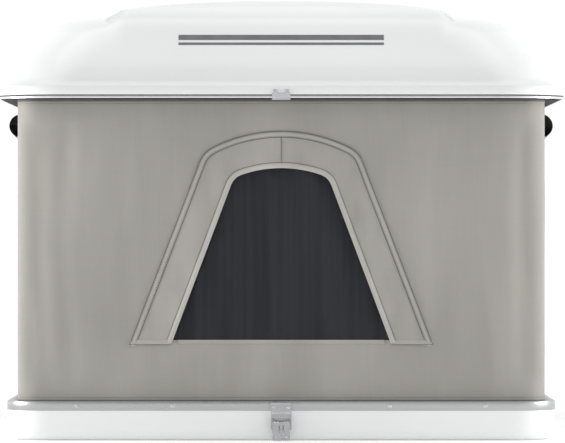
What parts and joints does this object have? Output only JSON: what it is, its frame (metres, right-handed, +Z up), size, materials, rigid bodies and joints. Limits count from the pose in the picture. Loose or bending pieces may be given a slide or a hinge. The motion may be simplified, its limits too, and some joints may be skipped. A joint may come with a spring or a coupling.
{
  "type": "hard-shell roof tent",
  "caption": "Hard-shell roof tent, standing open: moulded base and lid, cloth walls, crossed lift arms at both ends worked by a crank, latches, windows and rolled side doors.",
  "frame": {"origin": "middle of the base's underside, where it rests on the roof bars", "axes": "+Z up; +X across the tent; +Y along it, from the front end to the end with the crank"},
  "size_m": [1.302, 2.217, 1.0145],
  "materials": {
    "white_gelcoat": "glossy white gelcoat",
    "aluminium_trim": "satin anodised extrusion",
    "gear_aluminium": "mill-finish flat bar",
    "gear_steel": "zinc-plated steel",
    "latch_stainless": "brushed stainless",
    "screw_bright": "bright domed screws",
    "bearing_nylon": "black nylon",
    "grip_black": "turned black grip",
    "seal_black": "black rubber",
    "taupe_canvas": "warm grey coated canvas",
    "taupe_band": "warm grey canvas band with sewn hems",
    "dark_mesh": "charcoal insect mesh",
    "zip_tape": "dark zip tape",
    "mattress_cover": "grey quilted cover",
    "liner_felt": "dark felt",
    "headliner_quilt": "padded lining",
    "foam_core": "rigid foam",
    "lamp_body": "white plastic",
    "lamp_lens": "frosted cover"
  },
  "bodies": {
    "base": {"base_shell": "white_gelcoat", "rim_rail": "aluminium_trim", "rim_screws": "screw_bright", "rim_joint_covers": "latch_stainless", "mount_rails": "aluminium_trim", "floor_liner": "liner_felt", "mattress": "mattress_cover", "base_keder_rail": "aluminium_trim", "scissor_sills": "gear_aluminium", "lower_pivot_brackets": "gear_steel", "lower_pivot_pins": "gear_steel", "screw_bearings": "bearing_nylon", "shaft_hangers": "bearing_nylon", "crank_socket_bush": "bearing_nylon", "latch_plates": "latch_stainless", "wall_front": "taupe_canvas", "wall_rear": "taupe_canvas", "wall_left": "taupe_canvas", "wall_right": "taupe_canvas", "window_meshes": "dark_mesh", "window_surrounds": "taupe_band", "door_zips": "zip_tape", "door_roll_left": "taupe_canvas", "door_roll_right": "taupe_canvas", "door_ties": "taupe_canvas"},
    "roof": {"roof_shell": "white_gelcoat", "roof_trim": "aluminium_trim", "roof_seal": "seal_black", "roof_keder_rail": "aluminium_trim", "roof_beams": "gear_aluminium", "roof_tracks": "gear_aluminium", "upper_pivot_brackets": "gear_steel", "upper_pivot_pins": "gear_steel", "roof_insulation": "foam_core", "headliner": "headliner_quilt", "lamp_housing": "lamp_body", "lamp_lens": "lamp_lens", "lid_keepers": "latch_stainless", "keeper_screws": "screw_bright"},
    "crank_input": {"crank_input_shaft": "gear_steel"},
    "crank": {"crank_handle": "gear_steel"},
    "crank_knob": {"crank_knob": "grip_black"},
    "drive_shaft": {"drive_shaft": "gear_steel"},
    "screw_front": {"lift_screw_front": "gear_steel"},
    "screw_rear": {"lift_screw_rear": "gear_steel"},
    "lamp_switch": {"lamp_switch": "lamp_body"},
    "arm_outer_front": {"arm_outer_front": "gear_aluminium", "arm_pins_front": "gear_steel"},
    "arm_inner_front": {"arm_inner_front": "gear_aluminium"},
    "nut_front": {"lift_nut_front": "bearing_nylon"},
    "roller_front": {"track_roller_front": "bearing_nylon"},
    "latch_lever_front": {"latch_lever_front": "latch_stainless"},
    "latch_claw_front": {"latch_claw_front": "latch_stainless"},
    "arm_outer_rear": {"arm_outer_rear": "gear_aluminium", "arm_pins_rear": "gear_steel"},
    "arm_inner_rear": {"arm_inner_rear": "gear_aluminium"},
    "nut_rear": {"lift_nut_rear": "bearing_nylon"},
    "roller_rear": {"track_roller_rear": "bearing_nylon"},
    "latch_lever_rear": {"latch_lever_rear": "latch_stainless"},
    "latch_claw_rear": {"latch_claw_rear": "latch_stainless"}
  },
  "joints": [
    {"name": "roof_lift", "type": "hinge", "parent": "base", "child": "arm_outer_front", "pos_m": [-0.55, -0.99, 0.055], "axis": [0, 1, 0], "range_deg": [0, 39.25], "deforming": ["wall_front", "wall_rear", "wall_left", "wall_right", "window_meshes", "window_surrounds", "door_zips", "door_roll_left", "door_roll_right", "door_ties"]},
    {"name": "arm_inner_front_fold", "type": "hinge", "parent": "arm_outer_front", "child": "arm_inner_front", "pos_m": [-0.13901, -0.984, 0.4205], "axis": [0, 1, 0], "range_deg": [-78.87, 0.36]},
    {"name": "roof_level", "type": "hinge", "parent": "arm_inner_front", "child": "roof", "pos_m": [-0.55, -0.978, 0.786], "axis": [0, 1, 0], "range_deg": [-0.21, 39.46]},
    {"name": "nut_front_level", "type": "hinge", "parent": "arm_inner_front", "child": "nut_front", "pos_m": [0.27197, -0.978, 0.055], "axis": [0, 1, 0], "range_deg": [-0.21, 39.46]},
    {"name": "roller_front_roll", "type": "hinge", "parent": "arm_outer_front", "child": "roller_front", "pos_m": [0.27197, -0.978, 0.786], "axis": [0, 1, 0], "range_deg": [-2031.72, 8.14]},
    {"name": "arm_outer_rear_swing", "type": "hinge", "parent": "base", "child": "arm_outer_rear", "pos_m": [0.55, 0.99, 0.055], "axis": [0, -1, 0], "range_deg": [-0.21, 39.46]},
    {"name": "arm_inner_rear_fold", "type": "hinge", "parent": "arm_outer_rear", "child": "arm_inner_rear", "pos_m": [0.13901, 0.984, 0.4205], "axis": [0, -1, 0], "range_deg": [-78.87, 0.36]},
    {"name": "nut_rear_level", "type": "hinge", "parent": "arm_inner_rear", "child": "nut_rear", "pos_m": [-0.27197, 0.978, 0.055], "axis": [0, -1, 0], "range_deg": [-0.21, 39.46]},
    {"name": "roller_rear_roll", "type": "hinge", "parent": "arm_outer_rear", "child": "roller_rear", "pos_m": [-0.27197, 0.978, 0.786], "axis": [0, -1, 0], "range_deg": [-2031.72, 8.14]},
    {"name": "screw_front_spin", "type": "hinge", "parent": "base", "child": "screw_front", "pos_m": [0.215, -0.963, 0.036], "axis": [1, 0, 0], "range_deg": [-66.55, 16690.48]},
    {"name": "screw_rear_spin", "type": "hinge", "parent": "base", "child": "screw_rear", "pos_m": [0.215, 0.963, 0.036], "axis": [1, 0, 0], "range_deg": [-16690.48, 66.55]},
    {"name": "drive_shaft_spin", "type": "hinge", "parent": "base", "child": "drive_shaft", "pos_m": [0.592, 0, 0.036], "axis": [0, 1, 0], "range_deg": [-66.55, 16690.48]},
    {"name": "crank_input_spin", "type": "hinge", "parent": "base", "child": "crank_input", "pos_m": [0.18, 0.99, 0.036], "axis": [0, 1, 0], "range_deg": [-16690.48, 66.55]},
    {"name": "crank_pull_out", "type": "slide", "parent": "crank_input", "child": "crank", "axis": [0, 1, 0], "range_m": [0, 0.06]},
    {"name": "crank_knob_spin", "type": "hinge", "parent": "crank", "child": "crank_knob", "pos_m": [0.18, 1.109, 0.156], "axis": [0, 1, 0], "continuous": true},
    {"name": "latch_lever_front_swing", "type": "hinge", "parent": "base", "child": "latch_lever_front", "pos_m": [0, -1.044, 0.043], "axis": [-1, 0, 0], "range_deg": [0, 100]},
    {"name": "latch_claw_front_swing", "type": "hinge", "parent": "latch_lever_front", "child": "latch_claw_front", "pos_m": [0, -1.044, 0.031], "axis": [-1, 0, 0], "range_deg": [-101, 1]},
    {"name": "latch_lever_rear_swing", "type": "hinge", "parent": "base", "child": "latch_lever_rear", "pos_m": [0, 1.044, 0.043], "axis": [1, 0, 0], "range_deg": [0, 100]},
    {"name": "latch_claw_rear_swing", "type": "hinge", "parent": "latch_lever_rear", "child": "latch_claw_rear", "pos_m": [0, 1.044, 0.031], "axis": [1, 0, 0], "range_deg": [-101, 1]},
    {"name": "lamp_switch_press", "type": "slide", "parent": "roof", "child": "lamp_switch", "axis": [0, 0, 1], "range_m": [0, 0.002], "stiffness_N_per_m": 1500, "springref_m": -0.0005}
  ],
  "couplings": [
    {"joint": "arm_inner_front_fold", "follows": "roof_lift", "ratio": -2},
    {"joint": "roof_level", "follows": "roof_lift", "ratio": 1},
    {"joint": "nut_front_level", "follows": "roof_lift", "ratio": 1},
    {"joint": "roller_front_roll", "follows": "roof_lift", "ratio": -51.555},
    {"joint": "arm_outer_rear_swing", "follows": "roof_lift", "ratio": 1},
    {"joint": "arm_inner_rear_fold", "follows": "roof_lift", "ratio": -2},
    {"joint": "nut_rear_level", "follows": "roof_lift", "ratio": 1},
    {"joint": "roller_rear_roll", "follows": "roof_lift", "ratio": -51.555},
    {"joint": "screw_front_spin", "follows": "roof_lift", "ratio": 423.53},
    {"joint": "screw_rear_spin", "follows": "roof_lift", "ratio": -423.53},
    {"joint": "drive_shaft_spin", "follows": "roof_lift", "ratio": 423.53},
    {"joint": "crank_input_spin", "follows": "roof_lift", "ratio": -423.53},
    {"joint": "latch_claw_front_swing", "follows": "latch_lever_front_swing", "ratio": -1},
    {"joint": "latch_claw_rear_swing", "follows": "latch_lever_rear_swing", "ratio": -1}
  ]
}
